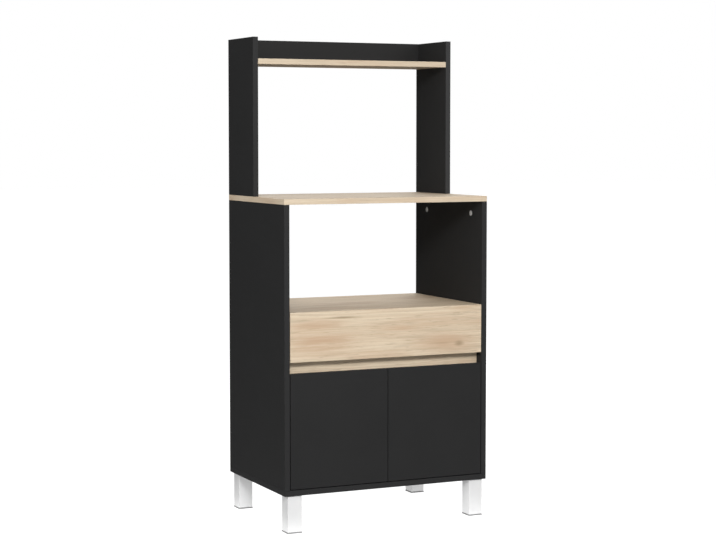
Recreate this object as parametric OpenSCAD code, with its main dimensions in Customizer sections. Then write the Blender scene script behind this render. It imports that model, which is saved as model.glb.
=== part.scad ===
// Free-standing kitchen stand: a cabinet on four legs with two doors, a drawer and an open niche,
// and a raised shelf between two hutch sides. Millimetres, +Z up.
// The origin is on the floor under the middle of the cabinet. The front faces -Y.

/* [Cabinet] */
// Overall width across the side panels
cabinet_w = 600; // [560:5:800]
// Overall depth from the door faces to the rear edges
cabinet_d = 400; // [385:5:500]
// Thickness of every laminated board
board_t = 15; // [15:0.25:16]
// Clear height of the open niche
niche_h = 282; // [240:1:380]
// Setback of the niche floor from the back of the drawer front
floor_play = 1; // [0.5:0.5:3]
// Thickness of the hardboard back panel
back_t = 3; // [2.5:0.5:4]
// Distance of the back panel from the rear edges
back_inset = 10; // [8:1:14]
// Depth of the grooves that hold the back panel
groove_d = 5; // [3:0.5:6]
// Height of the grip rail behind the finger gap
rail_h = 60; // [56:1:80]
// Distance of the grip rail behind the front plane
rail_setback = 28; // [24:1:32]
// How far the grip rail reaches down behind the doors
rail_overlap = 22; // [15:1:25]

/* [Legs] */
// Height of the legs with their glides
leg_h = 100; // [70:5:160]
// Side of the square leg
leg_w = 40; // [30:1:50]
// Distance of a leg from the side faces
leg_inset_x = 10; // [4:1:20]
// Distance of a leg from the front and rear faces
leg_inset_y = 4; // [3:1:20]
// Thickness of the glide under a leg
glide_t = 2.5; // [1.5:0.5:5]
// How far the glide stands out round the leg
glide_lip = 0.8; // [0:0.1:1.5]

/* [Hutch] */
// Height of the hutch sides above the countertop
hutch_h = 430; // [320:5:600]
// Depth of the hutch sides and of the raised shelf
hutch_d = 185; // [150:5:260]
// Height of the hutch sides above the raised shelf
hutch_lip = 58; // [50:1:100]
// Distance of the hutch fasteners from the hutch's front and rear edges
hutch_line = 40; // [30:1:50]

/* [Doors] */
// Height of a door
door_h = 305; // [280:5:420]
// Gap round each door
door_gap = 2; // [1.8:0.1:2.4]
// Height of the finger gap between the doors and the drawer front
finger_gap = 30; // [24:1:32]
// Opening angle of a door
door_swing = 95; // [80:1:95]
// Distance from a door's end to the middle of its hinge
hinge_end = 60; // [50:1:90]

/* [Hinges] */
// Diameter of the hinge cup
cup_d = 35; // [35:0.5:37]
// Depth of the hinge cup
cup_depth = 12.5; // [12.3:0.1:12.7]
// Wall of the hinge cup
cup_wall = 0.8; // [0.6:0.1:1]
// Distance from the door's edge to the cup
cup_edge = 3; // [2.6:0.1:3.4]
// Thickness of the cup's flange
flange_t = 1.2; // [0.8:0.1:1.6]
// Depth of the hinge pin below the door's inner face
pin_depth = 9.1; // [9:0.05:9.2]
// Radius of the hinge pin
pin_r = 1.25; // [1.1:0.05:1.4]
// Thickness of the hinge arm
arm_t = 2.5; // [2:0.1:2.8]
// Width of the hinge arm
arm_w = 12; // [8:1:14]
// Thickness of the mounting plate under the arm
plate_t = 4; // [3:0.5:5]
// Distance from the door's inner face to the plate's screws
plate_line = 37; // [34:1:40]

/* [Drawer] */
// Height of the drawer front
drawer_front_h = 131; // [128:1:200]
// Gap at each end of the drawer front
front_gap = 1.5; // [1:0.1:2.5]
// Thickness of the drawer box's sides and back
drawer_side_t = 12; // [12:0.5:15]
// Height of the drawer box
drawer_box_h = 85; // [75:1:90]
// Height of the drawer box above the grip rail
drawer_lift = 6; // [4:0.5:8]
// Thickness of the drawer bottom
drawer_bottom_t = 3; // [2.5:0.5:5]
// Height of the drawer bottom above the box's lower edge
bottom_rise = 10; // [8:1:14]
// Depth of the grooves that hold the drawer bottom
bottom_groove_d = 4; // [3:0.5:4.5]
// Distance from the drawer's rear end to the back panel
drawer_rear_gap = 22; // [15:1:40]
// Height of a side's lower cam lock above the drawer box's lower edge
drawer_cam_low = 28; // [24:1:32]
// Distance of a side's upper cam lock below the drawer box's top edge
drawer_cam_high = 17; // [12:1:20]
// Height of the lower back screw above the drawer box's lower edge
back_screw_low = 42; // [35:1:50]
// Distance of the upper back screw below the drawer box's top edge
back_screw_high = 15; // [10:1:20]

/* [Runners] */
// Space for the runners between the drawer box and a side panel
runner_space = 12.5; // [12.5:0.1:14]
// Thickness of the runner steel
runner_t = 1.2; // [1:0.1:1.4]
// Radius of a runner roller
roller_r = 10.5; // [9:0.5:11]
// Width of a runner roller
roller_w = 8; // [6:0.5:8]
// Radius of a roller pin
roller_pin_r = 2; // [1.5:0.1:2.5]
// Distance that is left between the front and rear axles with the drawer pulled out
axle_spread = 59; // [50:1:100]
// Distance from a runner's front end to its front screw
runner_screw_front = 45; // [40:1:55]
// Distance from a channel's front end to its middle screw
track_screw_middle = 150; // [120:5:180]
// Distance from a channel's rear end to its rear screw
track_screw_rear = 50; // [30:1:70]
// Distance from a profile's front end to its middle screw
hook_screw_middle = 165; // [120:5:180]
// Distance from a profile's rear end to its rear screw
hook_screw_rear = 60; // [40:1:80]

/* [Fasteners] */
// Diameter of a cam lock
cam_d = 15; // [12:1:15]
// Depth of a cam lock in a laminated board
cam_depth = 12.5; // [12:0.1:13]
// Depth of a cam lock in a drawer side
drawer_cam_depth = 10; // [9.5:0.1:10.5]
// Distance from a board's edge to the middle of its cam lock
cam_reach = 34; // [24:1:40]
// Diameter of a cam dowel's shank
cam_dowel_d = 6; // [5:0.5:6.5]
// Diameter of a cam dowel's thread
cam_thread_d = 5; // [4:0.5:6]
// Length of a cam dowel's thread
cam_thread_l = 10; // [8:0.5:11]
// Distance from the front plane to the front line of cam locks
front_line = 65; // [60:1:80]
// Distance from the rear edges to the rear line of cam locks
rear_line = 70; // [60:1:90]
// Diameter of a wooden dowel
peg_d = 8; // [6:0.5:8]
// Length of a wooden dowel
peg_l = 30; // [25:1:35]
// How deep a wooden dowel sits in a board's face
peg_seat = 10; // [8:0.5:11]
// Diameter of the bolt in a leg
leg_bolt_d = 8; // [6:0.5:10]
// Length of the bolt in a leg
leg_bolt_l = 50; // [40:1:60]
// Diameter of the insert that takes a leg bolt
insert_d = 13; // [12:0.5:14]
// Depth of the insert in the bottom panel
insert_l = 11; // [9:0.5:12]

/* [Hidden] */

$fn = 48;
black = "#2c2c2e";
oak = "#d9c4a4";
white = "#ececec";
grey = "#a9a9a9";
steel = "#c4c6c8";
zinc = "#b4b6b8";
nylon = "#f2f2ee";
beech = "#d8b486";
cut = 1;             // how far a cutting tool runs past a surface
fit = 0.1;           // play round a fixed fastener or panel
seat = 0.02;         // play round a pin that is fixed in its hole
groove_end = 0.4;    // room at the bottom of a panel's groove
running = 0.05;      // radial play of a turning part on its pin
roll_gap = 0.25;     // play between a roller and its track
side_clear = 0.63;   // least room between a turning door's edge and the side panel
arm_clear = 0.9;     // room between a hinge arm and the door that turns past it

// Planes of the cabinet
front_y = -cabinet_d / 2;
rear_y = cabinet_d / 2;
face_y = front_y + board_t;
outer_x = cabinet_w / 2;
inner_x = outer_x - board_t;
side_z = leg_h + board_t;
door_z = side_z + door_gap;
door_top = door_z + door_h;
front_z = door_top + finger_gap;
floor_top = front_z + drawer_front_h;
floor_z = floor_top - board_t;
counter_z = floor_top + niche_h;
counter_top = counter_z + board_t;
rail_y = front_y + rail_setback;
rail_z = door_top - rail_overlap;
rail_top = rail_z + rail_h;
back_y = rear_y - back_inset - back_t;
hutch_y = rear_y - hutch_d;
hutch_top = counter_top + hutch_h;
shelf_top = hutch_top - hutch_lip;
shelf_z = shelf_top - board_t;

// Lines of fasteners
cam_lines = [front_y + front_line, rear_y - rear_line];
peg_line = (cam_lines[0] + cam_lines[1]) / 2;
hutch_lines = [hutch_y + hutch_line, rear_y - hutch_line];
hutch_middle = (hutch_lines[0] + hutch_lines[1]) / 2;
rail_cam_z = rail_z + rail_h / 3;
rail_peg_z = rail_z + rail_h * 0.72;
lip_cam_z = shelf_top + hutch_lip / 3;
lip_peg_z = shelf_top + hutch_lip * 0.72;

// Legs
leg_x = outer_x - leg_inset_x - leg_w / 2;
leg_y = cabinet_d / 2 - leg_inset_y - leg_w / 2;
leg_places = [[-leg_x, -leg_y], [leg_x, -leg_y], [-leg_x, leg_y], [leg_x, leg_y]];

// Doors and hinges, drawn for the left door. The pin's distance from the door's edge keeps that edge
// clear of the side panel while the door turns.
door_w = (2 * inner_x - 3 * door_gap) / 2;
door_x = -inner_x + door_gap;
pin_front = board_t - pin_depth;
swing_room = door_gap - side_clear;
pin_edge = (pow(pin_front, 2) - pow(swing_room, 2)) / (2 * swing_room);
pin_x = door_x + pin_edge;
pin_y = front_y + pin_front;
hinge_levels = [door_z + hinge_end, door_top - hinge_end];
cup_r = cup_d / 2;
cup_x = door_x + cup_edge + cup_r;
cup_inner_r = cup_r - cup_wall;
pin_half = sqrt(pow(cup_r, 2) - pow(cup_x - pin_x + pin_r, 2)) - fit;
flange_w = 18;
flange_l = 58;
flange_shift = 4;
flange_x = cup_x - flange_shift;
cup_screw_shift = 9.5;
cup_screw_x = cup_x + cup_screw_shift;
cup_screw_z = 22.5;

// The arm leaves the cup past its rim, runs over the door's edge and follows the side panel
eye_wall = 1.1;
eye_r = pin_r + eye_wall;
sweep_r = norm([pin_edge, pin_depth]);
rim_x = cup_x - pin_x - sqrt(pow(cup_inner_r, 2) - pow(arm_w / 2, 2));
rim_r = norm([rim_x, pin_depth]);
neck_a = atan2(pin_depth, rim_x) - door_swing - asin((arm_t + arm_clear) / 2 / rim_r);
neck = rim_r * [cos(neck_a), sin(neck_a)];
shoulder_step = [3, 4.7];
shoulder = neck + shoulder_step;
arm_run_y = sweep_r + arm_clear + arm_t / 2;
arm_x = -inner_x + plate_t + arm_t / 2 - pin_x;

// Mounting plates
plate_l = 48;
plate_w = 14;
wing_l = 50;
wing_w = 12;
wing_pitch = 32;
plate_nose = 18;
arm_screw_gap = 18;
plate_screw_y = face_y + plate_line;
plate_y = plate_screw_y - plate_nose;
arm_end = plate_y + plate_l - pin_y;
arm_screw_y = plate_screw_y + arm_screw_gap;

// Drawer, drawn for the left side
front_w = 2 * (inner_x - front_gap);
box_x = -inner_x + runner_space;
box_edge_x = box_x + drawer_side_t;
box_z = rail_top + drawer_lift;
box_top = box_z + drawer_box_h;
box_end = back_y - drawer_rear_gap;
runner_l = box_end - face_y;
drawer_bottom_z = box_z + bottom_rise;
front_cam_levels = [box_z + drawer_cam_low, box_top - drawer_cam_high];
back_screw_levels = [box_z + back_screw_low, box_top - back_screw_high];

// Runners, drawn for the left side. The channel is on the side panel, the profile on the drawer.
track_setback = 2;
guard_gap = 0.5;
web_gap = 1.8;
ledge_gap = 1.6;
end_gap = 1.5;
track_y = face_y + track_setback;
track_x = -inner_x + runner_t;
track_z = box_z - runner_t;
track_in = 2 * roller_r + roll_gap + guard_gap;
track_w = runner_space - 2 * runner_t - web_gap;
guard_z = track_z + runner_t + track_in;
ledge_z = guard_z + runner_t + ledge_gap;
axle_end = roller_r + end_gap;
front_axle_y = track_y + axle_end;
front_axle_z = ledge_z - roll_gap - roller_r;
rear_axle_y = box_end - axle_end;
rear_axle_z = track_z + runner_t + roll_gap + roller_r;
roller_side = 0.4;
pin_head_r = roller_pin_r + 1;
pin_head_t = 0.8;
head_play = 0.3;
drawer_web_x = box_x - runner_t;
track_end = track_y + runner_l;
track_screw_drop = 4.5;
track_screw_lines = [
    track_y + runner_screw_front,
    track_y + track_screw_middle,
    track_end - track_screw_rear,
];
track_screw_z = guard_z - track_screw_drop;
hook_screw_lines = [
    face_y + runner_screw_front,
    face_y + hook_screw_middle,
    box_end - hook_screw_rear,
];
hook_screw_x = box_x + drawer_side_t * 0.45;

// The stop hangs from the guard, in front of the rear roller. It meets the roller above its axle.
stop_h = 6;
stop_play = 0.3;
stop_reach = sqrt(pow(roller_r, 2) - pow(roller_r + guard_gap - stop_h, 2));
stop_y = front_axle_y + axle_spread - stop_reach - stop_play;

// Screws: diameter, length, head diameter, head height
hutch_screw = [5, 45, 9, 3];
plate_screw = [3.5, 14, 6.6, 2];
arm_screw = [4, 6, 6.6, 1.6];
cup_screw = [3.5, 11, 6.2, 1.1];
track_screw = [3.5, 13, 6, 1];
hook_screw = [3.5, 12, 6, 1];
back_screw = [3.5, 35, 6.8, 2.5];

// ---------------------------------------------------------------- shared shapes

// Draws its children on the left, or mirrored on the right
module at_side(side) {
    if (side == "left")
        children();
    else
        mirror([1, 0, 0]) children();
}

module both_sides() {
    at_side("left") children();
    at_side("right") children();
}

module board(low, high) {
    translate(low) cube(high - low);
}

// A cam joint's own frame: +Z runs along the dowel into the board that holds the cam, from the face
// that it meets, and the cam's open face looks along +X.
module cam_bores(t, depth) {
    translate([0, 0, -cut]) cylinder(d = cam_dowel_d + 1.5, h = cam_reach + cut);
    translate([t / 2 - depth - fit, 0, cam_reach])
        rotate([0, 90, 0]) cylinder(d = cam_d + 2 * fit, h = depth + fit + cut);
}

module thread_bore() {
    translate([0, 0, -cam_thread_l - fit])
        cylinder(d = cam_thread_d + 2 * fit, h = cam_thread_l + fit + cut);
}

module cam_lock(t, depth) {
    slot_w = cam_dowel_d + 1.4;
    slot_end = 2;
    cross_l = cam_d * 0.55;
    cross_w = 1.2;
    cross_depth = 1.2;
    translate([0, 0, cam_reach]) difference() {
        translate([t / 2 - depth, 0, 0]) rotate([0, 90, 0]) cylinder(d = cam_d, h = depth);
        translate([-slot_w / 2, -slot_w / 2, -cam_d]) cube([slot_w, slot_w, cam_d + slot_end]);
        for (a = [0, 90])
            translate([t / 2 - cross_depth, 0, 0]) rotate([a, 0, 0])
                translate([0, -cross_l / 2, -cross_w / 2]) cube([cross_depth + cut, cross_l, cross_w]);
    }
}

module cam_dowel() {
    head_r = cam_dowel_d / 2;
    head_l = 3;
    neck_l = 4;
    neck_r = head_r * 0.55;
    head_z = cam_reach - head_r - 0.5;
    translate([0, 0, -cam_thread_l]) cylinder(d = cam_thread_d, h = cam_thread_l + cut);
    cylinder(d = cam_dowel_d, h = head_z - neck_l);
    translate([0, 0, head_z - neck_l - cut]) cylinder(r = neck_r, h = neck_l + 2 * cut);
    translate([0, 0, head_z]) cylinder(r = head_r, h = head_l);
}

module peg_bore() {
    translate([0, 0, -peg_seat - fit]) cylinder(d = peg_d + 2 * fit, h = peg_l + 2 * fit);
}

module peg() {
    bevel = 1;
    translate([0, 0, -peg_seat]) {
        cylinder(d1 = peg_d - 2 * bevel, d2 = peg_d, h = bevel);
        translate([0, 0, bevel]) cylinder(d = peg_d, h = peg_l - 2 * bevel);
        translate([0, 0, peg_l - bevel]) cylinder(d1 = peg_d, d2 = peg_d - 2 * bevel, h = bevel);
    }
}

// A countersunk screw along +Z, with the top of its head at the origin
module screw(size) {
    length = size[1];
    head_d = size[2];
    slot_l = head_d * 0.56;
    slot_w = 0.7;
    slot_depth = 0.8;
    difference() {
        union() {
            cylinder(d1 = head_d, d2 = size[0], h = size[3]);
            cylinder(d = size[0], h = length);
        }
        for (a = [0, 90])
            rotate([0, 0, a]) translate([-slot_l / 2, -slot_w / 2, -cut])
                cube([slot_l, slot_w, cut + slot_depth]);
    }
}

module screw_bore(size) {
    head_d = size[2] + 2 * fit;
    translate([0, 0, -cut]) cylinder(d = head_d, h = cut);
    cylinder(d1 = head_d, d2 = size[0] + 2 * fit, h = size[3]);
    cylinder(d = size[0] + 2 * fit, h = size[1] + fit);
}

// ---------------------------------------------------------------- places of the joints, left side

module top_cam_places() {
    for (y = cam_lines)
        translate([-outer_x + board_t / 2, y, counter_z]) rotate([180, 0, 0]) children();
}

module base_cam_places() {
    for (y = cam_lines)
        translate([-outer_x + board_t / 2, y, side_z]) children();
}

module floor_cam_places() {
    for (y = cam_lines)
        translate([-inner_x, y, floor_z + board_t / 2]) rotate([0, 90, 0]) children();
}

module rail_cam_place() {
    translate([-inner_x, rail_y + board_t / 2, rail_cam_z]) rotate([90, 0, 90]) children();
}

module shelf_cam_places() {
    for (y = hutch_lines)
        translate([-inner_x, y, shelf_z + board_t / 2]) rotate([0, 90, 0]) children();
}

module lip_cam_place() {
    translate([-inner_x, rear_y - board_t / 2, lip_cam_z]) rotate([90, 0, 90]) children();
}

module top_peg_place() {
    translate([-outer_x + board_t / 2, peg_line, counter_z]) rotate([180, 0, 0]) children();
}

module base_peg_place() {
    translate([-outer_x + board_t / 2, peg_line, side_z]) children();
}

module floor_peg_place() {
    translate([-inner_x, peg_line, floor_z + board_t / 2]) rotate([0, 90, 0]) children();
}

module rail_peg_place() {
    translate([-inner_x, rail_y + board_t / 2, rail_peg_z]) rotate([0, 90, 0]) children();
}

module shelf_peg_place() {
    translate([-inner_x, hutch_middle, shelf_z + board_t / 2]) rotate([0, 90, 0]) children();
}

module lip_peg_place() {
    translate([-inner_x, rear_y - board_t / 2, lip_peg_z]) rotate([0, 90, 0]) children();
}

module hutch_peg_place() {
    translate([-outer_x + board_t / 2, hutch_middle, counter_top]) children();
}

module hutch_screw_places() {
    for (y = hutch_lines)
        translate([-outer_x + board_t / 2, y, counter_z]) children();
}

module plate_screw_places() {
    for (z = hinge_levels)
        for (s = [-1, 1])
            translate([-inner_x + plate_t, plate_screw_y, z + s * wing_pitch / 2])
                rotate([0, -90, 0]) children();
}

module arm_screw_places() {
    for (z = hinge_levels)
        translate([-inner_x + plate_t + arm_t, arm_screw_y, z]) rotate([0, -90, 0]) children();
}

module cup_screw_places() {
    for (z = hinge_levels)
        for (s = [-1, 1])
            translate([cup_screw_x, face_y + flange_t, z + s * cup_screw_z]) rotate([90, 0, 0]) children();
}

module track_screw_places() {
    for (y = track_screw_lines)
        translate([track_x, y, track_screw_z]) rotate([0, -90, 0]) children();
}

module hook_screw_places() {
    for (y = hook_screw_lines)
        translate([hook_screw_x, y, track_z]) children();
}

module drawer_cam_places() {
    for (z = front_cam_levels)
        translate([box_x + drawer_side_t / 2, face_y, z]) rotate([-90, 0, 0]) children();
}

module back_screw_places() {
    for (z = back_screw_levels)
        translate([box_x, box_end - drawer_side_t / 2, z]) rotate([0, 90, 0]) children();
}

module front_axle() {
    translate([-inner_x, front_axle_y, front_axle_z]) children();
}

module rear_axle() {
    translate([box_x, rear_axle_y, rear_axle_z]) mirror([1, 0, 0]) children();
}

module carcass_cam_places() {
    both_sides() {
        top_cam_places() children();
        base_cam_places() children();
        floor_cam_places() children();
        rail_cam_place() children();
        shelf_cam_places() children();
        lip_cam_place() children();
    }
}

// ---------------------------------------------------------------- carcass

module side_panel(side) {
    color(black) at_side(side) difference() {
        board([-outer_x, front_y, side_z], [-inner_x, rear_y, counter_z]);
        top_cam_places() cam_bores(board_t, cam_depth);
        base_cam_places() cam_bores(board_t, cam_depth);
        floor_cam_places() thread_bore();
        rail_cam_place() thread_bore();
        top_peg_place() peg_bore();
        base_peg_place() peg_bore();
        floor_peg_place() peg_bore();
        rail_peg_place() peg_bore();
        plate_screw_places() screw_bore(plate_screw);
        track_screw_places() screw_bore(track_screw);
        board([-inner_x - groove_d, back_y - fit, side_z - cut],
              [-inner_x + cut, back_y + back_t + fit, floor_z + groove_d]);
    }
}

module bottom_panel() {
    color(black) difference() {
        board([-outer_x, front_y, leg_h], [outer_x, rear_y, side_z]);
        both_sides() {
            base_cam_places() thread_bore();
            base_peg_place() peg_bore();
        }
        for (p = leg_places)
            translate([p[0], p[1], leg_h - cut]) cylinder(d = insert_d + 2 * fit, h = insert_l + fit + cut);
        board([-inner_x - groove_d, back_y - fit, side_z - groove_d],
              [inner_x + groove_d, back_y + back_t + fit, side_z + cut]);
    }
}

module countertop() {
    color(oak) difference() {
        board([-outer_x, front_y, counter_z], [outer_x, rear_y, counter_top]);
        both_sides() {
            top_cam_places() thread_bore();
            top_peg_place() peg_bore();
            hutch_peg_place() peg_bore();
            hutch_screw_places() screw_bore(hutch_screw);
        }
    }
}

module niche_floor() {
    color(oak) difference() {
        board([-inner_x, face_y + floor_play, floor_z], [inner_x, rear_y, floor_top]);
        both_sides() {
            floor_cam_places() cam_bores(board_t, cam_depth);
            floor_peg_place() peg_bore();
        }
        board([-inner_x - cut, back_y - fit, floor_z - cut],
              [inner_x + cut, back_y + back_t + fit, floor_z + groove_d]);
    }
}

module grip_rail() {
    color(oak) difference() {
        board([-inner_x, rail_y, rail_z], [inner_x, rail_y + board_t, rail_top]);
        both_sides() {
            rail_cam_place() cam_bores(board_t, cam_depth);
            rail_peg_place() peg_bore();
        }
    }
}

module back_panel() {
    reach = groove_d - groove_end;
    color(black)
        board([-inner_x - reach, back_y, side_z - reach],
              [inner_x + reach, back_y + back_t, floor_z + reach]);
}

module hutch_side(side) {
    color(black) at_side(side) difference() {
        board([-outer_x, hutch_y, counter_top], [-inner_x, rear_y, hutch_top]);
        shelf_cam_places() thread_bore();
        shelf_peg_place() peg_bore();
        lip_cam_place() thread_bore();
        lip_peg_place() peg_bore();
        hutch_peg_place() peg_bore();
        hutch_screw_places() screw_bore(hutch_screw);
    }
}

module hutch_shelf() {
    color(oak) difference() {
        board([-inner_x, hutch_y, shelf_z], [inner_x, rear_y, shelf_top]);
        both_sides() {
            shelf_cam_places() cam_bores(board_t, cam_depth);
            shelf_peg_place() peg_bore();
        }
    }
}

module hutch_back_rail() {
    color(black) difference() {
        board([-inner_x, rear_y - board_t, shelf_top], [inner_x, rear_y, hutch_top]);
        both_sides() {
            lip_cam_place() cam_bores(board_t, cam_depth);
            lip_peg_place() peg_bore();
        }
    }
}

// ---------------------------------------------------------------- legs

module leg(place) {
    bolt_depth = leg_bolt_l - insert_l;
    color(white) difference() {
        translate([place[0] - leg_w / 2, place[1] - leg_w / 2, glide_t])
            cube([leg_w, leg_w, leg_h - glide_t]);
        translate([place[0], place[1], leg_h - bolt_depth - fit])
            cylinder(d = leg_bolt_d + 2 * fit, h = bolt_depth + fit + cut);
    }
}

module leg_glides() {
    w = leg_w + 2 * glide_lip;
    color(grey) for (p = leg_places)
        translate([p[0] - w / 2, p[1] - w / 2, 0]) cube([w, w, glide_t]);
}

module leg_bolts() {
    color(steel) for (p = leg_places)
        translate([p[0], p[1], leg_h - leg_bolt_l + insert_l]) cylinder(d = leg_bolt_d, h = leg_bolt_l);
}

module leg_inserts() {
    color(zinc) for (p = leg_places)
        translate([p[0], p[1], leg_h]) difference() {
            cylinder(d = insert_d, h = insert_l);
            translate([0, 0, -cut]) cylinder(d = leg_bolt_d + 2 * fit, h = insert_l + 2 * cut);
        }
}

// ---------------------------------------------------------------- joinery

module cam_locks() {
    color(zinc) carcass_cam_places() cam_lock(board_t, cam_depth);
}

module cam_dowels() {
    color(steel) carcass_cam_places() cam_dowel();
}

module wooden_dowels() {
    color(beech) both_sides() {
        top_peg_place() peg();
        base_peg_place() peg();
        floor_peg_place() peg();
        rail_peg_place() peg();
        shelf_peg_place() peg();
        lip_peg_place() peg();
        hutch_peg_place() peg();
    }
}

module hutch_screws() {
    color(steel) both_sides() hutch_screw_places() screw(hutch_screw);
}

// ---------------------------------------------------------------- doors and hinges

module door(side) {
    color(black) at_side(side) difference() {
        board([door_x, front_y, door_z], [door_x + door_w, face_y, door_top]);
        for (z = hinge_levels)
            translate([cup_x, face_y - cup_depth - fit, z])
                rotate([-90, 0, 0]) cylinder(r = cup_r + fit, h = cup_depth + fit + cut, $fn = 96);
        cup_screw_places() screw_bore(cup_screw);
    }
}

module hinge_cup() {
    difference() {
        union() {
            translate([cup_x, face_y - cup_depth, 0])
                rotate([-90, 0, 0]) cylinder(r = cup_r, h = cup_depth, $fn = 96);
            translate([flange_x, face_y, -flange_l / 2]) cube([flange_w, flange_t, flange_l]);
        }
        translate([cup_x, face_y - cup_depth + cup_wall, 0])
            rotate([-90, 0, 0]) cylinder(r = cup_inner_r, h = cup_depth + flange_t + cut, $fn = 96);
        translate([pin_x, pin_y, -cup_r]) cylinder(r = pin_r + seat, h = cup_d);
    }
}

module hinge_cups(side) {
    color(steel) at_side(side) difference() {
        for (z = hinge_levels)
            translate([0, 0, z]) hinge_cup();
        cup_screw_places() screw_bore(cup_screw);
    }
}

module hinge_pins(side) {
    color(steel) at_side(side) for (z = hinge_levels)
        translate([pin_x, pin_y, z - pin_half]) cylinder(r = pin_r, h = 2 * pin_half);
}

module cup_screws(side) {
    color(steel) at_side(side) cup_screw_places() screw(cup_screw);
}

// A bar of the arm's thickness between two points of the plan
module arm_bar(a, b) {
    along = b - a;
    translate(a) rotate(atan2(along[1], along[0])) translate([0, -arm_t / 2]) square([norm(along), arm_t]);
    translate(b) circle(d = arm_t);
}

module hinge_arm() {
    bend = [shoulder[0], arm_run_y];
    corner = [arm_x, arm_run_y];
    tail = [arm_x, arm_end];
    translate([pin_x, pin_y, -arm_w / 2]) linear_extrude(arm_w) difference() {
        union() {
            circle(r = eye_r);
            arm_bar([0, 0], neck);
            arm_bar(neck, shoulder);
            arm_bar(shoulder, bend);
            arm_bar(bend, corner);
            arm_bar(corner, tail);
        }
        circle(r = pin_r + running);
    }
}

module hinge_arms(side) {
    color(steel) at_side(side) difference() {
        for (z = hinge_levels)
            translate([0, 0, z]) hinge_arm();
        arm_screw_places() screw_bore(arm_screw);
    }
}

module hinge_plates(side) {
    color(zinc) at_side(side) difference() {
        for (z = hinge_levels)
            union() {
                translate([-inner_x, plate_y, z - plate_w / 2]) cube([plate_t, plate_l, plate_w]);
                translate([-inner_x, plate_screw_y - wing_w / 2, z - wing_l / 2])
                    cube([plate_t, wing_w, wing_l]);
            }
        plate_screw_places() screw_bore(plate_screw);
        arm_screw_places() screw_bore(arm_screw);
    }
}

module plate_screws() {
    color(steel) both_sides() plate_screw_places() screw(plate_screw);
}

module arm_screws() {
    color(steel) both_sides() arm_screw_places() screw(arm_screw);
}

// ---------------------------------------------------------------- drawer

module bottom_groove() {
    reach = -box_edge_x + bottom_groove_d;
    board([-reach, face_y - bottom_groove_d, drawer_bottom_z - fit],
          [reach, box_end - drawer_side_t + bottom_groove_d, drawer_bottom_z + drawer_bottom_t + fit]);
}

module drawer_front() {
    color(oak) difference() {
        board([-front_w / 2, front_y, front_z], [front_w / 2, face_y, floor_top]);
        both_sides() drawer_cam_places() thread_bore();
        bottom_groove();
    }
}

module drawer_side(side) {
    color(black) at_side(side) difference() {
        board([box_x, face_y, box_z], [box_edge_x, box_end, box_top]);
        drawer_cam_places() cam_bores(drawer_side_t, drawer_cam_depth);
        back_screw_places() screw_bore(back_screw);
        hook_screw_places() screw_bore(hook_screw);
        bottom_groove();
    }
}

module drawer_back() {
    color(black) difference() {
        board([box_edge_x, box_end - drawer_side_t, box_z], [-box_edge_x, box_end, box_top]);
        both_sides() back_screw_places() screw_bore(back_screw);
        bottom_groove();
    }
}

module drawer_bottom() {
    reach = bottom_groove_d - groove_end;
    color(black)
        board([box_edge_x - reach, face_y - reach, drawer_bottom_z],
              [-box_edge_x + reach, box_end - drawer_side_t + reach, drawer_bottom_z + drawer_bottom_t]);
}

module drawer_cam_locks() {
    color(zinc) both_sides() drawer_cam_places() cam_lock(drawer_side_t, drawer_cam_depth);
}

module drawer_cam_dowels() {
    color(steel) both_sides() drawer_cam_places() cam_dowel();
}

module drawer_back_screws() {
    color(steel) both_sides() back_screw_places() screw(back_screw);
}

// ---------------------------------------------------------------- runners

// A web on the side panel, a track under the rear roller, and a guard over it that carries the stop
module cabinet_runner(side) {
    guard_y = front_axle_y + roller_r + end_gap;
    edge_x = track_x + track_w;
    color(white) at_side(side) difference() {
        union() {
            board([-inner_x, track_y, track_z], [track_x, track_end, guard_z + runner_t]);
            board([-inner_x, track_y, track_z], [edge_x, track_end, track_z + runner_t]);
            board([-inner_x, guard_y, guard_z], [edge_x, track_end, guard_z + runner_t]);
            board([-inner_x, stop_y - runner_t, guard_z - stop_h], [edge_x, stop_y, guard_z + runner_t]);
        }
        track_screw_places() screw_bore(track_screw);
        front_axle() translate([-cut, 0, 0])
            rotate([0, 90, 0]) cylinder(r = roller_pin_r + seat, h = runner_t + 2 * cut);
    }
}

// A hook under the drawer side, a web beside it and a ledge that rolls on the front roller
module drawer_runner(side) {
    color(white) at_side(side) difference() {
        union() {
            board([drawer_web_x, face_y, track_z], [box_x, box_end, ledge_z + runner_t]);
            board([drawer_web_x, face_y, track_z], [box_edge_x, box_end, track_z + runner_t]);
            board([drawer_web_x - track_w, face_y, ledge_z], [box_x, box_end, ledge_z + runner_t]);
        }
        hook_screw_places() screw_bore(hook_screw);
        rear_axle() translate([-cut, 0, 0])
            rotate([0, 90, 0]) cylinder(r = roller_pin_r + seat, h = runner_t + 2 * cut);
    }
}

// A roller along +X from the web that carries it, with a recess for the head of its pin
module roller() {
    recess_z = roller_w - pin_head_t - head_play;
    translate([runner_t + roller_side, 0, 0]) rotate([0, 90, 0]) difference() {
        cylinder(r = roller_r, h = roller_w, $fn = 64);
        translate([0, 0, -cut]) cylinder(r = roller_pin_r + running, h = roller_w + 2 * cut);
        translate([0, 0, recess_z]) cylinder(r = pin_head_r + head_play, h = roller_w - recess_z + cut);
    }
}

module roller_pin() {
    head_out = 0.1;
    stem = runner_t + roller_side + roller_w - pin_head_t - head_play + head_out;
    rotate([0, 90, 0]) {
        cylinder(r = roller_pin_r, h = stem);
        translate([0, 0, stem]) cylinder(r = pin_head_r, h = pin_head_t);
    }
}

module front_roller(side) {
    color(nylon) at_side(side) front_axle() roller();
}

module rear_roller(side) {
    color(nylon) at_side(side) rear_axle() roller();
}

module front_roller_pins() {
    color(steel) both_sides() front_axle() roller_pin();
}

module rear_roller_pins() {
    color(steel) both_sides() rear_axle() roller_pin();
}

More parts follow.
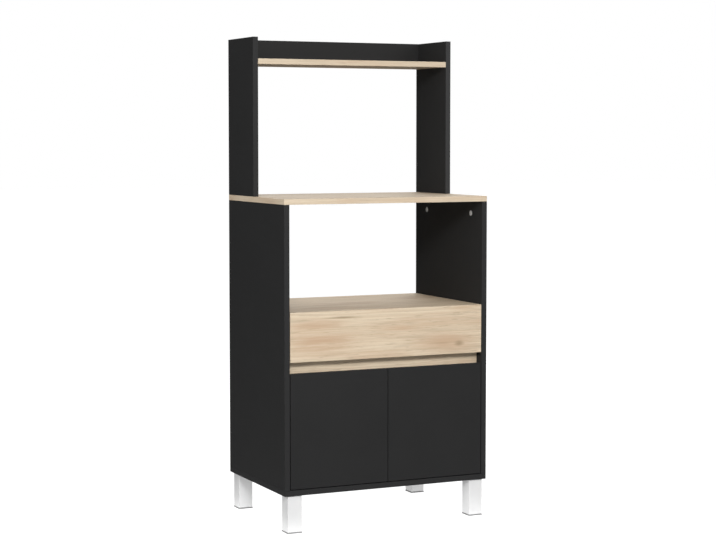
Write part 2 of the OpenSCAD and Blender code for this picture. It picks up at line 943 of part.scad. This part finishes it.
module cabinet_runner_screws() {
    color(steel) both_sides() track_screw_places() screw(track_screw);
}

module drawer_runner_screws() {
    color(steel) both_sides() hook_screw_places() screw(hook_screw);
}

// ---------------------------------------------------------------- nodes

side_panel("left");  // side_panel_left
side_panel("right");  // side_panel_right
bottom_panel();
countertop();
niche_floor();
grip_rail();
back_panel();
hutch_side("left");  // hutch_side_left
hutch_side("right");  // hutch_side_right
hutch_shelf();
hutch_back_rail();
leg(leg_places[0]);  // leg_front_left
leg(leg_places[1]);  // leg_front_right
leg(leg_places[2]);  // leg_rear_left
leg(leg_places[3]);  // leg_rear_right
leg_glides();
leg_bolts();
leg_inserts();
cam_locks();
cam_dowels();
wooden_dowels();
hutch_screws();
door("left");  // door_left
door("right");  // door_right
hinge_cups("left");  // hinge_cups_left
hinge_cups("right");  // hinge_cups_right
hinge_pins("left");  // hinge_pins_left
hinge_pins("right");  // hinge_pins_right
cup_screws("left");  // cup_screws_left
cup_screws("right");  // cup_screws_right
hinge_arms("left");  // hinge_arms_left
hinge_arms("right");  // hinge_arms_right
hinge_plates("left");  // hinge_plates_left
hinge_plates("right");  // hinge_plates_right
plate_screws();
arm_screws();
drawer_front();
drawer_side("left");  // drawer_side_left
drawer_side("right");  // drawer_side_right
drawer_back();
drawer_bottom();
drawer_cam_locks();
drawer_cam_dowels();
drawer_back_screws();
cabinet_runner("left");  // cabinet_runner_left
cabinet_runner("right");  // cabinet_runner_right
drawer_runner("left");  // drawer_runner_left
drawer_runner("right");  // drawer_runner_right
front_roller("left");  // front_roller_left
front_roller("right");  // front_roller_right
rear_roller("left");  // rear_roller_left
rear_roller("right");  // rear_roller_right
front_roller_pins();
rear_roller_pins();
cabinet_runner_screws();
drawer_runner_screws();
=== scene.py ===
"""Finishes, rounded edges, floor, light and camera for the stand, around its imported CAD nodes.

Lengths are in metres in the frame of the CAD: X right, Y back, Z up, origin on the floor.
Colours are linear.
"""

import math
from collections import namedtuple

import bpy
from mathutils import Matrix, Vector


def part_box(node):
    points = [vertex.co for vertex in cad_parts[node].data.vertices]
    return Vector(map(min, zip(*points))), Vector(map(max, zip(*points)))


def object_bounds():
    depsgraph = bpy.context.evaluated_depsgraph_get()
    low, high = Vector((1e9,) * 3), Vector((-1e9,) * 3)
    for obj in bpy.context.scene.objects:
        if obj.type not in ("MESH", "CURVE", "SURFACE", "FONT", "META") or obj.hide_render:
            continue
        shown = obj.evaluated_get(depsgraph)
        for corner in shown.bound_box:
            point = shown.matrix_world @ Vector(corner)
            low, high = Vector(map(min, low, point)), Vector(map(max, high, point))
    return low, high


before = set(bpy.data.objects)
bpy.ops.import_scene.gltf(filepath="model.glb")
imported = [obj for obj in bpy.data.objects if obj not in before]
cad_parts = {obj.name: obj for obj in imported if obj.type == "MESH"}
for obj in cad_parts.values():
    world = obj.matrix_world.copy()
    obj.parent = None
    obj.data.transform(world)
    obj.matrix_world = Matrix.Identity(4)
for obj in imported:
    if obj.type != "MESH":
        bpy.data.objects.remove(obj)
cad_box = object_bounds()
scene = bpy.context.scene

# --- Camera ---------------------------------------------------------------------------------------------

CAMERA_PLACE = (-2.0932, -4.5012, 1.0422)
CAMERA_YAW = 24.986  # degrees clockwise from the Y axis, seen from above
CAMERA_PITCH = 3.567  # degrees down from level
CAMERA_LENS = 90.385  # millimetres on a sensor 36 mm wide
CAMERA_SHIFT_Y = -0.03

camera = bpy.data.objects.new("camera", bpy.data.cameras.new("camera"))
camera.location = CAMERA_PLACE
camera.rotation_euler = (math.radians(90 - CAMERA_PITCH), 0, math.radians(-CAMERA_YAW))
camera.data.lens = CAMERA_LENS
camera.data.shift_y = CAMERA_SHIFT_Y
scene.collection.objects.link(camera)
scene.camera = camera

# --- Node helpers ---------------------------------------------------------------------------------------

# The Mix node's sockets, which share their names and are told apart by their numbers
MIX_AMOUNT = 0
MIX_VECTOR_A, MIX_VECTOR_B, MIXED_VECTOR = 4, 5, 1
MIX_COLOUR_A, MIX_COLOUR_B, MIXED_COLOUR = 6, 7, 2
VECTOR_LENGTH = 1  # the Vector Math node's output that holds a single number


def plug(tree, node, socket, value):
    """Links value to the node's socket if it is another node's output, and sets the socket to it if not."""
    if isinstance(value, bpy.types.NodeSocket):
        tree.links.new(value, node.inputs[socket])
    else:
        node.inputs[socket].default_value = value


def add_node(tree, kind, inputs, **settings):
    """A new node with its settings and inputs."""
    node = tree.nodes.new(kind)
    for name, value in settings.items():
        setattr(node, name, value)
    for socket, value in inputs.items():
        plug(tree, node, socket, value)
    return node


class Finish:
    """A Principled material, and short calls that add nodes to it. Most give back the node's output."""

    def __init__(self, name, **constants):
        self.material = bpy.data.materials.new(name)
        self.material.use_nodes = True
        self.tree = self.material.node_tree
        self.shader = self.tree.nodes["Principled BSDF"]
        for socket, value in constants.items():
            self.give(socket.replace("_", " "), value)
        coordinates = self.tree.nodes.new("ShaderNodeTexCoord")
        self.place = coordinates.outputs["Object"]
        self.facing = coordinates.outputs["Normal"]

    def give(self, socket, value):
        """Sets the shader's socket, or links value to it."""
        plug(self.tree, self.shader, socket, value)

    def add(self, kind, inputs, output=0, **settings):
        return add_node(self.tree, "ShaderNode" + kind, inputs, **settings).outputs[output]

    def math(self, operation, *values):
        return self.add("Math", dict(enumerate(values)), operation=operation)

    def vector(self, operation, a, b=(0, 0, 0), output=0):
        return self.add("VectorMath", {0: a, 1: b}, output=output, operation=operation)

    def split(self, vector):
        """The X, Y and Z of a vector."""
        return add_node(self.tree, "ShaderNodeSeparateXYZ", {0: vector}).outputs

    def noise(self, where, per_metre, detail=3.0, roughness=0.5, distortion=0.0):
        """Noise with per_metre cells a metre along X, Y and Z."""
        inputs = {
            "Vector": self.vector("MULTIPLY", where, per_metre), "Scale": 1.0,
            "Detail": detail, "Roughness": roughness, "Distortion": distortion,
        }
        return self.add("TexNoise", inputs)

    def step(self, value, span, result=(0.0, 1.0)):
        """value taken smoothly from span to result, and held beyond its ends."""
        inputs = dict(zip(("From Min", "From Max", "To Min", "To Max"), (*span, *result)))
        return self.add("MapRange", {"Value": value, **inputs}, interpolation_type="SMOOTHSTEP")

    def mix(self, amount, a, b, blend="MIX"):
        """Colour a mixed with colour b by amount."""
        inputs = {MIX_AMOUNT: amount, MIX_COLOUR_A: a, MIX_COLOUR_B: b}
        return self.add("Mix", inputs, output=MIXED_COLOUR, data_type="RGBA", blend_type=blend)

    def bump(self, height, distance, strength):
        """Sends height to the surface as relief that is distance deep."""
        inputs = {"Height": height, "Distance": distance, "Strength": strength}
        self.give("Normal", self.add("Bump", inputs))


NOISE_SPAN = (0.3, 0.7)  # where nearly all values of a noise lie
WIDE_SPAN = (0.25, 0.75)  # the same with room to spare, for softer changes


def colour(red, green, blue):
    return red, green, blue, 1.0


def grey(shade):
    return colour(shade, shade, shade)


def dress(names, finish):
    """Puts a finish on CAD nodes."""
    for name in names:
        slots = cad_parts[name].data.materials
        slots.clear()
        slots.append(finish.material)


# --- Chipboard under the boards' surfaces ---------------------------------------------------------------

SKIN = 0.0005  # thickness of the surface layer over the boards' cores
CHIPS = (420, 420, 700)  # chips a metre
CHIP_SPAN = (0.4, 0.62)
CHIP_LIGHT = colour(0.52, 0.37, 0.21)
CHIP_DARK = colour(0.24, 0.15, 0.075)


def board_layers(finish, name, surface, band):
    """surface on the board's two broad faces, band on its edges, and chipboard where a bore or groove cuts
    in."""
    low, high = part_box(name)
    middle, half = (low + high) / 2, (high - low) / 2
    offset = finish.vector("ABSOLUTE", finish.vector("SUBTRACT", finish.place, middle))
    beyond = finish.split(finish.vector("SUBTRACT", offset, half - Vector((SKIN,) * 3)))
    deepest = finish.math("MAXIMUM", beyond[0], finish.math("MAXIMUM", beyond[1], beyond[2]))
    core = finish.math("LESS_THAN", deepest, 0.0)
    thin = min(range(3), key=lambda axis: half[axis])
    edge = finish.math("LESS_THAN", beyond[thin], 0.0)
    chips = finish.noise(finish.place, CHIPS, detail=4, roughness=0.65, distortion=0.6)
    chipboard = finish.mix(finish.step(chips, CHIP_SPAN), CHIP_DARK, CHIP_LIGHT)
    return finish.mix(core, finish.mix(edge, surface, band), chipboard)


# --- Black boards ---------------------------------------------------------------------------------------

BLACK_LIGHT = colour(0.0196, 0.0196, 0.0198)
BLACK_DARK = colour(0.0184, 0.0184, 0.0186)
BLACK_BAND = colour(0.0230, 0.0230, 0.0234)
# The next colour is a painted highlight: a paler edge band for the right hutch side, standing in for the
# brighter light that falls on that edge.
PAINTED_HIGHLIGHT_BAND = colour(0.0370, 0.0370, 0.0376)
BLACK_ROUGHNESS = (0.58, 0.63)
BLACK_CLOUDS = (9, 9, 9)  # cells a metre
PEARL = (1900, 1900, 1900)
PEARL_DEPTH = 0.00004
BLACK_BOARDS = [
    "side_panel_left", "side_panel_right", "bottom_panel", "hutch_side_left", "hutch_side_right",
    "hutch_back_rail", "door_left", "door_right", "drawer_side_left", "drawer_side_right", "drawer_back",
]
# Boards whose edge band gets the painted highlight
HIGHLIGHT_PAINTED_BOARDS = ["hutch_side_right"]


def black_board(name):
    """Matt black melamine with a faint pearl grain."""
    finish = Finish("black_" + name, Specular_IOR_Level=0.16)
    clouds = finish.noise(finish.place, BLACK_CLOUDS, detail=4)
    pearl = finish.noise(finish.place, PEARL, detail=2, roughness=0.6)
    surface = finish.mix(finish.step(clouds, NOISE_SPAN), BLACK_DARK, BLACK_LIGHT)
    # The right hutch side's edges get the painted highlight band, paler than the other black edges.
    band = PAINTED_HIGHLIGHT_BAND if name in HIGHLIGHT_PAINTED_BOARDS else BLACK_BAND
    finish.give("Base Color", board_layers(finish, name, surface, band))
    finish.give("Roughness", finish.step(clouds, WIDE_SPAN, BLACK_ROUGHNESS))
    finish.bump(pearl, PEARL_DEPTH, strength=0.5)
    return finish


for board in BLACK_BOARDS:
    dress([board], black_board(board))

# --- Oak boards -----------------------------------------------------------------------------------------

OAK_CREAM = colour(0.730, 0.615, 0.465)
OAK_TAN = colour(0.655, 0.525, 0.375)
OAK_ROSE = colour(0.545, 0.380, 0.253)
OAK_ASH = colour(0.500, 0.405, 0.290)
OAK_STREAK = colour(0.30, 0.22, 0.13)
OAK_ROUGHNESS = (0.48, 0.6)
OAK_DEPTH = 0.00008
GROWTH_LINES = 210.0  # noise cells a metre across the growth lines
GROWTH_SPAN = (0.34, 0.64)
SWELL = (1.6, 7, 7)  # cells a metre of the slow bends in the grain
GROWTH_SWELL = 0.05  # how far the growth lines bend across the board
STREAK_SWELL = 0.02  # how far the patches and streaks bend with them
BAND_LIFT = 0.35  # how far the edge bands lean to the lightest wood
END_FACING = 0.7  # a face turned further than this along X is a board's end

# A noise over the growth lines, with cells a metre along X, Y and Z. Its colour comes in as the noise
# passes through span, up to strength.
Layer = namedtuple("Layer", "colour shift cells detail roughness span strength")
BLUSH = Layer(OAK_ROSE, (7, 3, 5), (3.0, 26, 26), 3, 0.6, (0.46, 0.70), 1.0)
ASH = Layer(OAK_ASH, (2, 9, 1), (6, 70, 70), 3, 0.6, (0.52, 0.72), 0.6)
STREAKS = Layer(OAK_STREAK, (0, 0, 0), (7, 330, 330), 2, 0.5, (0.40, 0.70), 0.16)
DASHES = Layer(OAK_STREAK, (0, 0, 0), (22, 260, 260), 2, 0.5, (0.58, 0.74), 0.4)
PORES = Layer(OAK_STREAK, (0, 0, 0), (60, 1400, 1400), 1, 0.5, (0.60, 0.74), 0.2)

# A mark in the grain that reaches so far along X and Z from its place, broken up by the grain of a layer
Mark = namedtuple("Mark", "colour grain place reach depth")
MARK_SPAN = (0.3, 0.6)
MARK_LEVELS = (0.4, 1.0)  # how much of a mark is left where its grain is weakest and strongest
DRAWER_MARKS = [
    Mark(OAK_ROSE, ASH, (-0.200, -0.2, 0.503), (0.190, 0.052), 1.0),
    Mark(OAK_ROSE, ASH, (-0.215, -0.2, 0.545), (0.120, 0.016), 0.8),
    Mark(OAK_ROSE, ASH, (0.175, -0.2, 0.487), (0.150, 0.040), 0.9),
    Mark(OAK_ROSE, ASH, (0.030, -0.2, 0.528), (0.080, 0.010), 0.8),
    Mark(OAK_ROSE, ASH, (0.225, -0.2, 0.577), (0.060, 0.010), 0.5),
    Mark(OAK_ROSE, ASH, (-0.020, -0.2, 0.585), (0.110, 0.012), 0.6),
    Mark(OAK_STREAK, STREAKS, (-0.131, -0.2, 0.565), (0.075, 0.005), 0.75),
    Mark(OAK_STREAK, STREAKS, (0.215, -0.2, 0.4805), (0.022, 0.011), 0.9),
    Mark(OAK_STREAK, STREAKS, (0.165, -0.2, 0.4835), (0.060, 0.004), 0.5),
]

# shift moves the grain, so that no two boards match. tone lightens or darkens the board, and blush is how
# strong its rosy patches are.
Oak = namedtuple("Oak", "shift tone blush marks", defaults=[()])
OAK_BOARDS = {
    "countertop": Oak((0.0, 0.0, 0.0), 0.87, 0.8),
    "niche_floor": Oak((5.1, 0.3, 1.7), 1.0, 0.8),
    # The grip rail's tone is lifted above the drawer front's as painted light: it brightens the board where
    # it sits in shade in its recess.
    "grip_rail": Oak((9.4, 2.2, 0.9), 1.02, 0.6),
    "hutch_shelf": Oak((13.7, 1.1, 4.2), 0.79, 0.8),
    "drawer_front": Oak((17.2, 3.6, 2.4), 0.975, 0.5, DRAWER_MARKS),
}


def grain_place(finish, shift):
    """Where each point lies in the grain, which runs along X, and along Y on the boards' ends."""
    x, y, z = finish.split(finish.place)
    turned = finish.add("CombineXYZ", {"X": y, "Y": x, "Z": z})
    facing_x = finish.math("ABSOLUTE", finish.split(finish.facing)["X"])
    end = finish.math("GREATER_THAN", facing_x, END_FACING)
    inputs = {MIX_AMOUNT: end, MIX_VECTOR_A: finish.place, MIX_VECTOR_B: turned}
    in_grain = finish.add("Mix", inputs, output=MIXED_VECTOR, data_type="VECTOR")
    return finish.vector("ADD", in_grain, shift)


def growth_lines(finish, where, swell):
    """The wood's growth lines, pale and tan by turns across the grain."""
    parts = finish.split(where)
    across = finish.math("ADD", parts["Y"], parts["Z"])
    rings = finish.math("MULTIPLY_ADD", swell, GROWTH_SWELL, across)
    inputs = {"W": rings, "Scale": GROWTH_LINES, "Detail": 3.0, "Roughness": 0.6}
    growth = finish.add("TexNoise", inputs, noise_dimensions="1D")
    return finish.mix(finish.step(growth, GROWTH_SPAN), OAK_TAN, OAK_CREAM)


def eye(finish, place, reach):
    """1 at place, falling to 0 on an ellipse that reaches so far along X and Z."""
    offset = finish.vector("SUBTRACT", finish.place, place)
    scaled = finish.vector("DIVIDE", offset, (reach[0], 1, reach[1]))
    distance = finish.vector("LENGTH", scaled, output=VECTOR_LENGTH)
    return finish.step(distance, (0.0, 1.0), (1.0, 0.0))


def oak_board(name, oak):
    """Light oak laminate."""
    finish = Finish("oak_" + name, Specular_IOR_Level=0.2)
    where = grain_place(finish, oak.shift)
    swell = finish.noise(where, SWELL, detail=2)
    wood = growth_lines(finish, where, swell)
    sway = finish.add("CombineXYZ", {"Y": finish.math("MULTIPLY", swell, STREAK_SWELL)})
    swayed = finish.vector("ADD", where, sway)
    noises = {}
    for layer in (BLUSH, ASH, STREAKS, DASHES, PORES):
        shifted = finish.vector("ADD", swayed, layer.shift)
        noises[layer] = finish.noise(shifted, layer.cells, layer.detail, layer.roughness)
        strength = layer.strength * (oak.blush if layer is BLUSH else 1.0)
        wood = finish.mix(finish.step(noises[layer], layer.span, (0.0, strength)), wood, layer.colour)
    for mark in oak.marks:
        grain = finish.step(noises[mark.grain], MARK_SPAN, MARK_LEVELS)
        shape = finish.math("MULTIPLY", eye(finish, mark.place, mark.reach), grain)
        wood = finish.mix(finish.math("MULTIPLY", shape, mark.depth), wood, mark.colour)
    wood = finish.mix(1.0, wood, grey(oak.tone), "MULTIPLY")
    band = finish.mix(BAND_LIFT, wood, OAK_CREAM)
    finish.give("Base Color", board_layers(finish, name, wood, band))
    finish.give("Roughness", finish.step(noises[STREAKS], NOISE_SPAN, OAK_ROUGHNESS))
    relief = finish.math("SUBTRACT", noises[STREAKS], noises[PORES])
    finish.bump(relief, OAK_DEPTH, strength=0.4)
    return finish


for board, oak_values in OAK_BOARDS.items():
    dress([board], oak_board(board, oak_values))

# --- Hardboard, beech, lacquer and plastic --------------------------------------------------------------

LEGS = ["leg_front_left", "leg_front_right", "leg_rear_left", "leg_rear_right"]
RUNNERS = [f"{kind}_runner_{side}" for kind in ("cabinet", "drawer") for side in ("left", "right")]
ROLLERS = [f"{end}_roller_{side}" for end in ("front", "rear") for side in ("left", "right")]
HARDBOARD_DARK = colour(0.016, 0.016, 0.017)
HARDBOARD_LIGHT = colour(0.024, 0.023, 0.023)
HARDBOARD_ROUGHNESS = (0.5, 0.68)
FIBRES = (600, 600, 600)  # cells a metre
FIBRE_DEPTH = 0.0001
BEECH_DARK = colour(0.60, 0.40, 0.22)
BEECH_LIGHT = colour(0.68, 0.48, 0.28)
BEECH_FLECK = colour(0.42, 0.24, 0.12)
BEECH_ROUGHNESS = (0.55, 0.7)
BEECH_RINGS = (160, 160, 160)
BEECH_SPAN = (0.35, 0.65)
FLECKS = (900, 900, 900)
FLECK_SPAN = (0.58, 0.75)
FLECK_STRENGTH = 0.5
FLECK_DEPTH = 0.0001
PAINT_CLOUDS = (14, 14, 14)


def hardboard():
    finish = Finish("hardboard", Specular_IOR_Level=0.35)
    fibres = finish.noise(finish.place, FIBRES, detail=4, roughness=0.7, distortion=1.2)
    finish.give("Base Color", finish.mix(finish.step(fibres, NOISE_SPAN), HARDBOARD_DARK, HARDBOARD_LIGHT))
    finish.give("Roughness", finish.step(fibres, NOISE_SPAN, HARDBOARD_ROUGHNESS))
    finish.bump(fibres, FIBRE_DEPTH, strength=0.5)
    return finish


def beech():
    finish = Finish("beech", Specular_IOR_Level=0.3)
    flecks = finish.noise(finish.place, FLECKS, detail=3, roughness=0.6)
    rings = finish.noise(finish.place, BEECH_RINGS, detail=3)
    wood = finish.mix(finish.step(rings, BEECH_SPAN), BEECH_DARK, BEECH_LIGHT)
    fleck = finish.step(flecks, FLECK_SPAN, (0.0, FLECK_STRENGTH))
    finish.give("Base Color", finish.mix(fleck, wood, BEECH_FLECK))
    finish.give("Roughness", finish.step(rings, NOISE_SPAN, BEECH_ROUGHNESS))
    finish.bump(flecks, FLECK_DEPTH, strength=0.5)
    return finish


def painted(name, dark, light, roughness, peel_cells, depth, specular):
    """A coated or moulded surface: clouds from dark to light, a span of roughness, and orange peel with
    peel_cells cells a metre that is depth deep."""
    finish = Finish(name, Specular_IOR_Level=specular)
    clouds = finish.noise(finish.place, PAINT_CLOUDS, detail=4)
    peel = finish.noise(finish.place, (peel_cells,) * 3, detail=2)
    finish.give("Base Color", finish.mix(finish.step(clouds, NOISE_SPAN), dark, light))
    finish.give("Roughness", finish.step(clouds, WIDE_SPAN, roughness))
    finish.bump(peel, depth, strength=0.4)
    return finish


dress(["back_panel", "drawer_bottom"], hardboard())
dress(["wooden_dowels"], beech())
dress(LEGS, painted(
    "white_lacquer", grey(0.74), grey(0.78),
    roughness=(0.30, 0.38), peel_cells=900, depth=0.00003, specular=0.4))
dress(["leg_glides"], painted(
    "grey_plastic", grey(0.23), grey(0.29),
    roughness=(0.5, 0.6), peel_cells=2500, depth=0.00003, specular=0.4))
dress(RUNNERS, painted(
    "powder_coat", grey(0.78), grey(0.84),
    roughness=(0.38, 0.48), peel_cells=1400, depth=0.00006, specular=0.5))
dress(ROLLERS, painted(
    "nylon", colour(0.80, 0.79, 0.75), colour(0.87, 0.86, 0.82),
    roughness=(0.36, 0.46), peel_cells=2600, depth=0.00002, specular=0.5))

# --- Metals ---------------------------------------------------------------------------------------------

FASTENERS = [
    "leg_bolts", "cam_dowels", "hutch_screws", "cup_screws_left", "cup_screws_right", "plate_screws",
    "arm_screws", "drawer_cam_dowels", "drawer_back_screws", "cabinet_runner_screws",
    "drawer_runner_screws", "front_roller_pins", "rear_roller_pins", "hinge_pins_left", "hinge_pins_right",
]
CASTINGS = ["leg_inserts", "cam_locks", "drawer_cam_locks", "hinge_plates_left", "hinge_plates_right"]
PRESSINGS = ["hinge_cups_left", "hinge_cups_right", "hinge_arms_left", "hinge_arms_right"]
METAL_PATCHES = (130, 130, 130)  # cells a metre


def metal(name, dull, bright, roughness, scratch_cells, depth):
    """Bare or plated metal: patches from dull to bright, a span of roughness, and scratches with
    scratch_cells cells a metre along X, Y and Z that are depth deep."""
    finish = Finish(name, Metallic=1.0)
    patches = finish.noise(finish.place, METAL_PATCHES, detail=4, roughness=0.6)
    scratches = finish.noise(finish.place, scratch_cells, detail=3, roughness=0.7)
    finish.give("Base Color", finish.mix(finish.step(patches, NOISE_SPAN), dull, bright))
    finish.give("Roughness", finish.step(scratches, NOISE_SPAN, roughness))
    finish.bump(scratches, depth, strength=0.4)
    return finish


dress(FASTENERS, metal(
    "plated_steel", colour(0.50, 0.51, 0.52), colour(0.66, 0.67, 0.68),
    roughness=(0.26, 0.42), scratch_cells=(900, 900, 3200), depth=0.00002))
dress(CASTINGS, metal(
    "cast_zinc", colour(0.82, 0.83, 0.84), colour(0.90, 0.91, 0.92),
    roughness=(0.55, 0.70), scratch_cells=(1500, 1500, 1500), depth=0.00005))
dress(PRESSINGS, metal(
    "nickel", colour(0.60, 0.585, 0.55), colour(0.70, 0.685, 0.65),
    roughness=(0.30, 0.40), scratch_cells=(600, 4000, 600), depth=0.00001))

# --- Rounded edges --------------------------------------------------------------------------------------

WELD = 0.000001
ON_BOX = 0.00001  # how near a plane of the box an edge lies to count as on it
BOX_EDGE_PLANES = 1.5  # an edge of the box lies on more of its planes than this
EDGE_ANGLE = math.radians(30)
BOARD_EDGE = 0.0006
LEG_EDGE = 0.0016
# Small pieces whose edges over EDGE_ANGLE are all rounded, each to its radius
SMALL_EDGES = {
    "leg_glides": 0.0005, "leg_inserts": 0.00015, "cam_locks": 0.00015, "drawer_cam_locks": 0.00015,
    **{roller: 0.0003 for roller in ROLLERS},
}


def outer_edges():
    """Geometry nodes that weld a mesh and mark the edges on the twelve of its box, so that bores stay
    sharp."""
    group = bpy.data.node_groups.new("outer_edges", "GeometryNodeTree")
    for direction in ("INPUT", "OUTPUT"):
        group.interface.new_socket("Geometry", in_out=direction, socket_type="NodeSocketGeometry")

    def work_out(kind, operation, values):
        return add_node(group, kind, dict(enumerate(values)), operation=operation).outputs[0]

    def vector(operation, *values):
        return work_out("ShaderNodeVectorMath", operation, values)

    def number(operation, *values):
        return work_out("ShaderNodeMath", operation, values)

    mesh = add_node(group, "NodeGroupInput", {}).outputs[0]
    weld = add_node(group, "GeometryNodeMergeByDistance", {"Geometry": mesh, "Distance": WELD})
    welded = weld.outputs[0]
    box = add_node(group, "GeometryNodeBoundBox", {"Geometry": welded})
    ends = add_node(group, "GeometryNodeInputMeshEdgeVertices", {})
    both_ends = vector("ADD", ends.outputs["Position 1"], ends.outputs["Position 2"])
    middle = vector("MULTIPLY", both_ends, (0.5, 0.5, 0.5))
    from_low = vector("ABSOLUTE", vector("SUBTRACT", middle, box.outputs["Min"]))
    from_high = vector("ABSOLUTE", vector("SUBTRACT", middle, box.outputs["Max"]))
    gaps = add_node(group, "ShaderNodeSeparateXYZ", {0: vector("MINIMUM", from_low, from_high)}).outputs
    near = [number("LESS_THAN", gap, ON_BOX) for gap in gaps]
    planes = number("ADD", number("ADD", near[0], near[1]), near[2])
    marked = number("GREATER_THAN", planes, BOX_EDGE_PLANES)
    weights = {"Geometry": welded, "Name": "bevel_weight_edge", "Value": marked}
    stored = add_node(
        group, "GeometryNodeStoreNamedAttribute", weights, data_type="FLOAT", domain="EDGE")
    add_node(group, "NodeGroupOutput", {0: stored.outputs[0]})
    return group


BOX_EDGES = outer_edges()


def bevel(piece, radius, segments, **settings):
    """Rounds a piece's edges with a modifier."""
    edges = piece.modifiers.new("edges", "BEVEL")
    edges.width = radius
    edges.segments = segments
    edges.harden_normals = True
    for name, value in settings.items():
        setattr(edges, name, value)


def round_box(names, radius, segments):
    """Rounds the outer edges of boards and legs."""
    for name in names:
        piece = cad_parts[name]
        piece.modifiers.new("mark", "NODES").node_group = BOX_EDGES
        bevel(piece, radius, segments, limit_method="WEIGHT", use_clamp_overlap=False)


def round_all(name, radius):
    """Rounds every sharp edge of a small piece."""
    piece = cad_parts[name]
    piece.modifiers.new("weld", "WELD").merge_threshold = WELD
    bevel(piece, radius, segments=2, angle_limit=EDGE_ANGLE)


round_box(BLACK_BOARDS + list(OAK_BOARDS), BOARD_EDGE, segments=2)
round_box(LEGS, LEG_EDGE, segments=3)
for small, edge_radius in SMALL_EDGES.items():
    round_all(small, edge_radius)

# --- Floor and backdrop ---------------------------------------------------------------------------------

FLOOR_HALF = 30.0
FLOOR_DROP = 0.0002  # keeps the floor clear of the glides' undersides
FLOOR_GREY = 0.30
FLOOR_GLOW = 0.97  # what the camera sees the floor give off
BACKDROP = 1.0  # what the camera sees behind the object
AMBIENT = 0.14  # what the surroundings give to the object

sides = ((-1, -1), (1, -1), (1, 1), (-1, 1))
corners = [(x * FLOOR_HALF, y * FLOOR_HALF, -FLOOR_DROP) for x, y in sides]
floor_mesh = bpy.data.meshes.new("floor")
floor_mesh.from_pydata(corners, [], [(0, 1, 2, 3)])
floor = bpy.data.objects.new("floor", floor_mesh)
scene.collection.objects.link(floor)

paper = Finish(
    "floor_paper", Base_Color=grey(FLOOR_GREY), Roughness=0.9, Specular_IOR_Level=0.0,
    Emission_Color=grey(1.0))
to_camera = paper.add("LightPath", {}, output="Is Camera Ray")
paper.give("Emission Strength", paper.math("MULTIPLY", to_camera, FLOOR_GLOW))
floor_mesh.materials.append(paper.material)

world = bpy.data.worlds.new("studio")
world.use_nodes = True
scene.world = world
sky = world.node_tree.nodes["Background"]
plug(world.node_tree, sky, "Color", grey(1.0))
seen = add_node(world.node_tree, "ShaderNodeLightPath", {}).outputs["Is Camera Ray"]
levels = {0: seen, 1: BACKDROP - AMBIENT, 2: AMBIENT}
sky_level = add_node(world.node_tree, "ShaderNodeMath", levels, operation="MULTIPLY_ADD")
plug(world.node_tree, sky, "Strength", sky_level.outputs[0])

# --- Light ----------------------------------------------------------------------------------------------

MIDDLE = (cad_box[0] + cad_box[1]) / 2
BOUNCE_HEIGHT = 0.0002  # just above the floor
FACING_UP = (math.pi, 0, 0)


def area_light(name, place, turn, size, power):
    """A rectangular light at place, turned by turn."""
    lamp = bpy.data.lights.new(name, "AREA")
    lamp.shape = "RECTANGLE"
    lamp.size, lamp.size_y = size
    lamp.energy = power
    light = bpy.data.objects.new(name, lamp)
    light.location = place
    light.rotation_euler = turn
    scene.collection.objects.link(light)
    return light


def softbox(name, toward, distance, size, level):
    """A light on the side toward, aimed at the object's middle. level is what it gives to a white face
    turned to it."""
    away = Vector(toward).normalized()
    turn = away.to_track_quat("Z", "Y").to_euler()
    area_light(name, MIDDLE + away * distance, turn, size, level * (math.pi * distance) ** 2)


def bounce(name, middle, size, level):
    """Light that a stretch of pale floor sends up, as bright as level. The camera doesn't see it."""
    power = level * math.pi * size[0] * size[1]
    area_light(name, (*middle, BOUNCE_HEIGHT), FACING_UP, size, power).visible_camera = False


softbox("key", toward=(-0.3, -0.87, 0.40), distance=4.2, size=(2.0, 0.6), level=0.69)
softbox("right_fill", toward=(0.45, -0.85, 0.34), distance=4.2, size=(2.0, 1.4), level=0.16)
softbox("low_fill", toward=(0.0, -1.0, -0.02), distance=4.2, size=(2.4, 1.0), level=0.03)
softbox("left_fill", toward=(-0.95, -0.3, 0.25), distance=4.0, size=(2.4, 2.4), level=0.43)
softbox("top", toward=(0.0, -0.1, 1.0), distance=3.2, size=(2.4, 2.4), level=0.10)
softbox("right_side", toward=(1.0, 0.1, 0.25), distance=4.0, size=(2.4, 2.4), level=0.45)
softbox("rear", toward=(0.4, 0.75, 0.75), distance=4.2, size=(2.4, 2.0), level=0.5)
bounce("bounce_under", middle=(0, 0), size=(0.7, 0.5), level=0.96)
bounce("bounce_front", middle=(0, -0.85), size=(1.6, 1.2), level=0.10)
bounce("bounce_left", middle=(-0.85, 0), size=(1.0, 1.2), level=0.03)

scene.view_settings.view_transform = "Standard"
